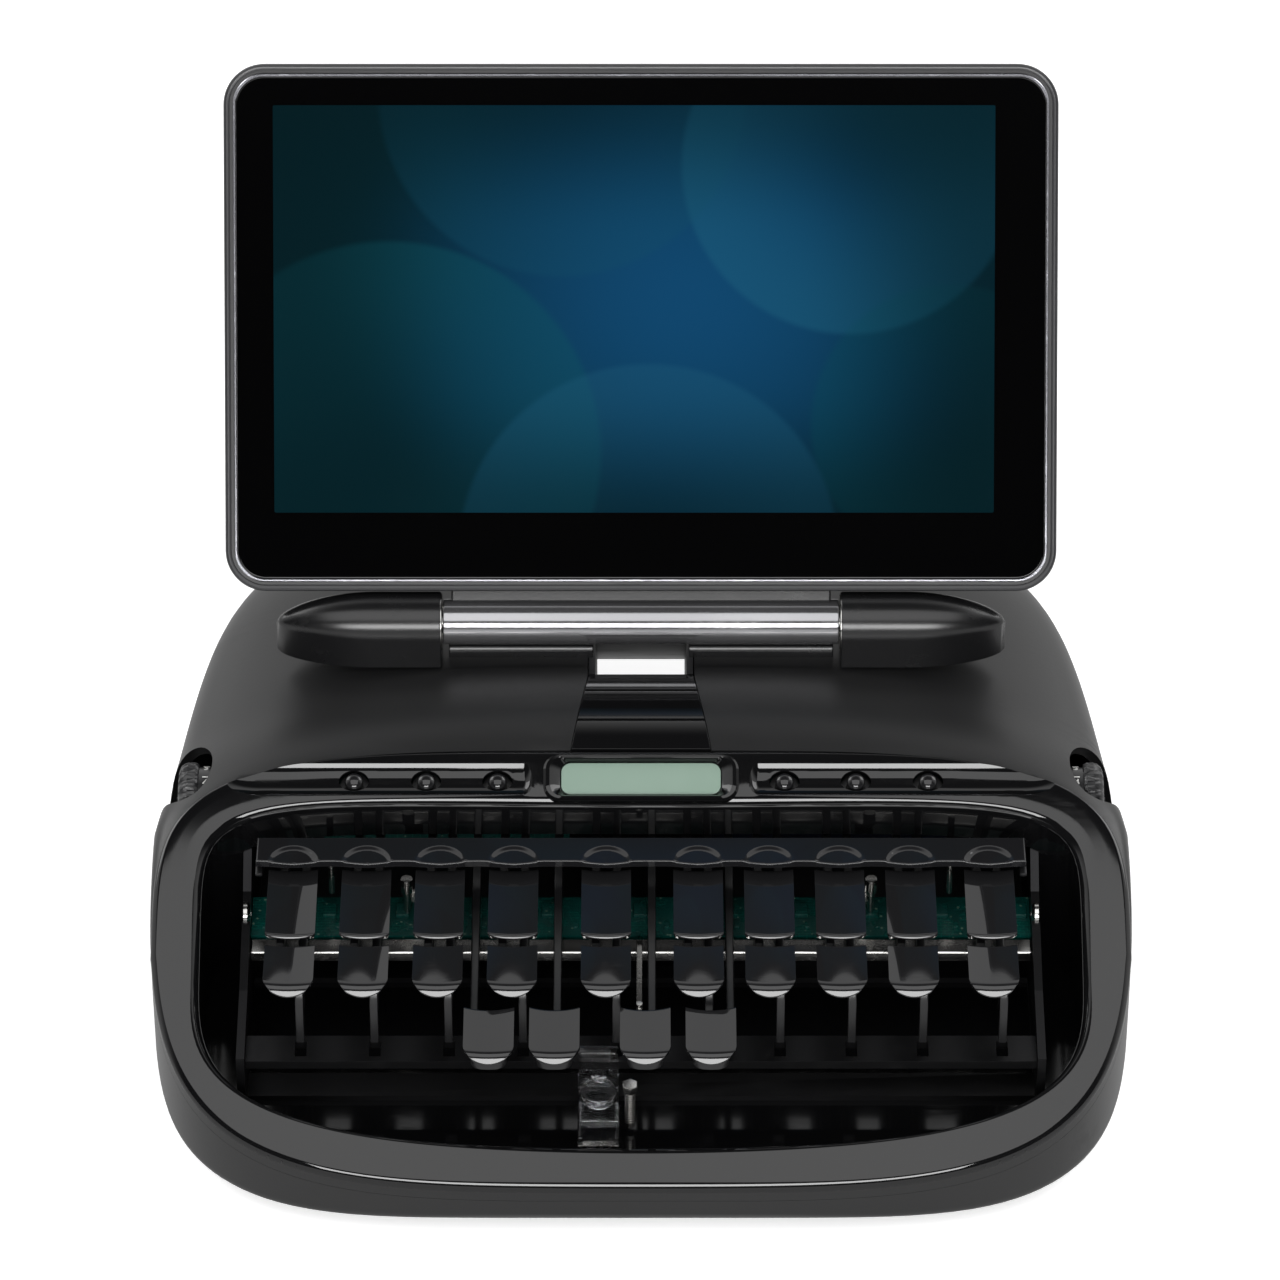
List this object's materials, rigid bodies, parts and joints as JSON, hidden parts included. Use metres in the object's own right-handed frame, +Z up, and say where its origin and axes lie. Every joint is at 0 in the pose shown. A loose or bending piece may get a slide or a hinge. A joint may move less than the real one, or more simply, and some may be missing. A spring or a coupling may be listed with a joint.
{
  "type": "stenotype machine",
  "caption": "Court reporter's stenotype: rounded dark case, open key well with chorded keys and number bar, thumbwheels, status window, and a hinged flat display.",
  "frame": {"origin": "on the table under the middle of the whole machine, with the display open as in the picture", "axes": "+X to the operator's right, -Y towards the operator, +Z up"},
  "size_m": [0.238, 0.2211, 0.1934],
  "materials": {
    "housing_plastic": "matte charcoal moulded plastic",
    "gloss_trim": "polished black",
    "status_glass": "pale green display window",
    "circuit_board": "green solder mask",
    "dark_plastic": "black satin plastic",
    "hinge_enamel": "satin black",
    "plated_steel": "bright plated steel",
    "battery_wrap": "shrink wrap",
    "foot_rubber": "matte rubber",
    "lid_plastic": "matte grey moulded plastic",
    "bright_rim": "dark bright rim",
    "cover_glass": "black cover glass",
    "display_panel": "lit display",
    "wheel_plastic": "ridged satin black",
    "button_plastic": "polished black",
    "key_plastic": "polished black"
  },
  "bodies": {
    "case": {"lower_case": "housing_plastic", "upper_case": "housing_plastic", "front_bezel": "gloss_trim", "centre_trim": "gloss_trim", "status_window": "status_glass", "control_board": "circuit_board", "button_guides": "dark_plastic", "hinge_pods": "hinge_enamel", "hinge_pins": "plated_steel", "slot_duct": "dark_plastic", "key_well": "dark_plastic", "key_frame": "dark_plastic", "key_pivot_shaft": "plated_steel", "return_springs": "plated_steel", "sensor_board": "circuit_board", "stop_rail": "plated_steel", "main_board": "circuit_board", "battery_pack": "battery_wrap", "port_panel": "dark_plastic", "case_screws": "plated_steel", "rubber_feet": "foot_rubber", "tripod_socket": "plated_steel"},
    "lid": {"lid_back": "lid_plastic", "lid_bezel": "bright_rim", "display_glass": "cover_glass", "display_module": "display_panel", "hinge_barrel": "hinge_enamel"},
    "number_bar": {"number_bar": "key_plastic"},
    "tension_wheel": {"tension_wheel": "wheel_plastic"},
    "depth_wheel": {"depth_wheel": "wheel_plastic"},
    "button_1": {"button_1": "button_plastic"},
    "button_2": {"button_2": "button_plastic"},
    "button_3": {"button_3": "button_plastic"},
    "button_4": {"button_4": "button_plastic"},
    "button_5": {"button_5": "button_plastic"},
    "button_6": {"button_6": "button_plastic"},
    "key_s_upper": {"key_s_upper": "key_plastic"},
    "key_t": {"key_t": "key_plastic"},
    "key_p_left": {"key_p_left": "key_plastic"},
    "key_h": {"key_h": "key_plastic"},
    "key_star_upper": {"key_star_upper": "key_plastic"},
    "key_f": {"key_f": "key_plastic"},
    "key_p_right": {"key_p_right": "key_plastic"},
    "key_l": {"key_l": "key_plastic"},
    "key_t_right": {"key_t_right": "key_plastic"},
    "key_d": {"key_d": "key_plastic"},
    "key_s_lower": {"key_s_lower": "key_plastic"},
    "key_k": {"key_k": "key_plastic"},
    "key_w": {"key_w": "key_plastic"},
    "key_r_left": {"key_r_left": "key_plastic"},
    "key_star_lower": {"key_star_lower": "key_plastic"},
    "key_r_right": {"key_r_right": "key_plastic"},
    "key_b": {"key_b": "key_plastic"},
    "key_g": {"key_g": "key_plastic"},
    "key_s_right": {"key_s_right": "key_plastic"},
    "key_z": {"key_z": "key_plastic"},
    "key_a": {"key_a": "key_plastic"},
    "key_o": {"key_o": "key_plastic"},
    "key_e": {"key_e": "key_plastic"},
    "key_u": {"key_u": "key_plastic"}
  },
  "joints": [
    {"name": "lid_hinge", "type": "hinge", "parent": "case", "child": "lid", "pos_m": [0, 0.02585, 0.0786], "axis": [1, 0, 0], "range_deg": [-25, 130]},
    {"name": "number_bar_press", "type": "hinge", "parent": "case", "child": "number_bar", "pos_m": [0, 0.00085, 0.045], "axis": [1, 0, 0], "range_deg": [0, 4], "stiffness_Nm_per_rad": 0.3, "springref_deg": -5.73},
    {"name": "tension_wheel_turn", "type": "hinge", "parent": "case", "child": "tension_wheel", "pos_m": [-0.1108, -0.01075, 0.051], "axis": [1, 0, 0], "range_deg": [-135, 135]},
    {"name": "depth_wheel_turn", "type": "hinge", "parent": "case", "child": "depth_wheel", "pos_m": [0.1108, -0.01075, 0.051], "axis": [1, 0, 0], "range_deg": [-135, 135]},
    {"name": "button_1_press", "type": "slide", "parent": "case", "child": "button_1", "axis": [0, 0.4462, -0.8949], "range_m": [0, 0.001], "stiffness_N_per_m": 200, "springref_m": -0.002},
    {"name": "button_2_press", "type": "slide", "parent": "case", "child": "button_2", "axis": [0, 0.4462, -0.8949], "range_m": [0, 0.001], "stiffness_N_per_m": 200, "springref_m": -0.002},
    {"name": "button_3_press", "type": "slide", "parent": "case", "child": "button_3", "axis": [0, 0.4462, -0.8949], "range_m": [0, 0.001], "stiffness_N_per_m": 200, "springref_m": -0.002},
    {"name": "button_4_press", "type": "slide", "parent": "case", "child": "button_4", "axis": [0, 0.4462, -0.8949], "range_m": [0, 0.001], "stiffness_N_per_m": 200, "springref_m": -0.002},
    {"name": "button_5_press", "type": "slide", "parent": "case", "child": "button_5", "axis": [0, 0.4462, -0.8949], "range_m": [0, 0.001], "stiffness_N_per_m": 200, "springref_m": -0.002},
    {"name": "button_6_press", "type": "slide", "parent": "case", "child": "button_6", "axis": [0, 0.4462, -0.8949], "range_m": [0, 0.001], "stiffness_N_per_m": 200, "springref_m": -0.002},
    {"name": "key_s_upper_press", "type": "hinge", "parent": "case", "child": "key_s_upper", "pos_m": [0, 0.00085, 0.045], "axis": [1, 0, 0], "range_deg": [0, 4], "stiffness_Nm_per_rad": 0.3, "springref_deg": -5.73},
    {"name": "key_t_press", "type": "hinge", "parent": "case", "child": "key_t", "pos_m": [0, 0.00085, 0.045], "axis": [1, 0, 0], "range_deg": [0, 4], "stiffness_Nm_per_rad": 0.3, "springref_deg": -5.73},
    {"name": "key_p_left_press", "type": "hinge", "parent": "case", "child": "key_p_left", "pos_m": [0, 0.00085, 0.045], "axis": [1, 0, 0], "range_deg": [0, 4], "stiffness_Nm_per_rad": 0.3, "springref_deg": -5.73},
    {"name": "key_h_press", "type": "hinge", "parent": "case", "child": "key_h", "pos_m": [0, 0.00085, 0.045], "axis": [1, 0, 0], "range_deg": [0, 4], "stiffness_Nm_per_rad": 0.3, "springref_deg": -5.73},
    {"name": "key_star_upper_press", "type": "hinge", "parent": "case", "child": "key_star_upper", "pos_m": [0, 0.00085, 0.045], "axis": [1, 0, 0], "range_deg": [0, 4], "stiffness_Nm_per_rad": 0.3, "springref_deg": -5.73},
    {"name": "key_f_press", "type": "hinge", "parent": "case", "child": "key_f", "pos_m": [0, 0.00085, 0.045], "axis": [1, 0, 0], "range_deg": [0, 4], "stiffness_Nm_per_rad": 0.3, "springref_deg": -5.73},
    {"name": "key_p_right_press", "type": "hinge", "parent": "case", "child": "key_p_right", "pos_m": [0, 0.00085, 0.045], "axis": [1, 0, 0], "range_deg": [0, 4], "stiffness_Nm_per_rad": 0.3, "springref_deg": -5.73},
    {"name": "key_l_press", "type": "hinge", "parent": "case", "child": "key_l", "pos_m": [0, 0.00085, 0.045], "axis": [1, 0, 0], "range_deg": [0, 4], "stiffness_Nm_per_rad": 0.3, "springref_deg": -5.73},
    {"name": "key_t_right_press", "type": "hinge", "parent": "case", "child": "key_t_right", "pos_m": [0, 0.00085, 0.045], "axis": [1, 0, 0], "range_deg": [0, 4], "stiffness_Nm_per_rad": 0.3, "springref_deg": -5.73},
    {"name": "key_d_press", "type": "hinge", "parent": "case", "child": "key_d", "pos_m": [0, 0.00085, 0.045], "axis": [1, 0, 0], "range_deg": [0, 4], "stiffness_Nm_per_rad": 0.3, "springref_deg": -5.73},
    {"name": "key_s_lower_press", "type": "hinge", "parent": "case", "child": "key_s_lower", "pos_m": [0, 0.00085, 0.045], "axis": [1, 0, 0], "range_deg": [0, 3.4], "stiffness_Nm_per_rad": 0.3, "springref_deg": -5.73},
    {"name": "key_k_press", "type": "hinge", "parent": "case", "child": "key_k", "pos_m": [0, 0.00085, 0.045], "axis": [1, 0, 0], "range_deg": [0, 3.4], "stiffness_Nm_per_rad": 0.3, "springref_deg": -5.73},
    {"name": "key_w_press", "type": "hinge", "parent": "case", "child": "key_w", "pos_m": [0, 0.00085, 0.045], "axis": [1, 0, 0], "range_deg": [0, 3.4], "stiffness_Nm_per_rad": 0.3, "springref_deg": -5.73},
    {"name": "key_r_left_press", "type": "hinge", "parent": "case", "child": "key_r_left", "pos_m": [0, 0.00085, 0.045], "axis": [1, 0, 0], "range_deg": [0, 3.4], "stiffness_Nm_per_rad": 0.3, "springref_deg": -5.73},
    {"name": "key_star_lower_press", "type": "hinge", "parent": "case", "child": "key_star_lower", "pos_m": [0, 0.00085, 0.045], "axis": [1, 0, 0], "range_deg": [0, 3.4], "stiffness_Nm_per_rad": 0.3, "springref_deg": -5.73},
    {"name": "key_r_right_press", "type": "hinge", "parent": "case", "child": "key_r_right", "pos_m": [0, 0.00085, 0.045], "axis": [1, 0, 0], "range_deg": [0, 3.4], "stiffness_Nm_per_rad": 0.3, "springref_deg": -5.73},
    {"name": "key_b_press", "type": "hinge", "parent": "case", "child": "key_b", "pos_m": [0, 0.00085, 0.045], "axis": [1, 0, 0], "range_deg": [0, 3.4], "stiffness_Nm_per_rad": 0.3, "springref_deg": -5.73},
    {"name": "key_g_press", "type": "hinge", "parent": "case", "child": "key_g", "pos_m": [0, 0.00085, 0.045], "axis": [1, 0, 0], "range_deg": [0, 3.4], "stiffness_Nm_per_rad": 0.3, "springref_deg": -5.73},
    {"name": "key_s_right_press", "type": "hinge", "parent": "case", "child": "key_s_right", "pos_m": [0, 0.00085, 0.045], "axis": [1, 0, 0], "range_deg": [0, 3.4], "stiffness_Nm_per_rad": 0.3, "springref_deg": -5.73},
    {"name": "key_z_press", "type": "hinge", "parent": "case", "child": "key_z", "pos_m": [0, 0.00085, 0.045], "axis": [1, 0, 0], "range_deg": [0, 3.4], "stiffness_Nm_per_rad": 0.3, "springref_deg": -5.73},
    {"name": "key_a_press", "type": "hinge", "parent": "case", "child": "key_a", "pos_m": [0, 0.00085, 0.045], "axis": [1, 0, 0], "range_deg": [0, 3], "stiffness_Nm_per_rad": 0.3, "springref_deg": -5.73},
    {"name": "key_o_press", "type": "hinge", "parent": "case", "child": "key_o", "pos_m": [0, 0.00085, 0.045], "axis": [1, 0, 0], "range_deg": [0, 3], "stiffness_Nm_per_rad": 0.3, "springref_deg": -5.73},
    {"name": "key_e_press", "type": "hinge", "parent": "case", "child": "key_e", "pos_m": [0, 0.00085, 0.045], "axis": [1, 0, 0], "range_deg": [0, 3], "stiffness_Nm_per_rad": 0.3, "springref_deg": -5.73},
    {"name": "key_u_press", "type": "hinge", "parent": "case", "child": "key_u", "pos_m": [0, 0.00085, 0.045], "axis": [1, 0, 0], "range_deg": [0, 3], "stiffness_Nm_per_rad": 0.3, "springref_deg": -5.73}
  ]
}
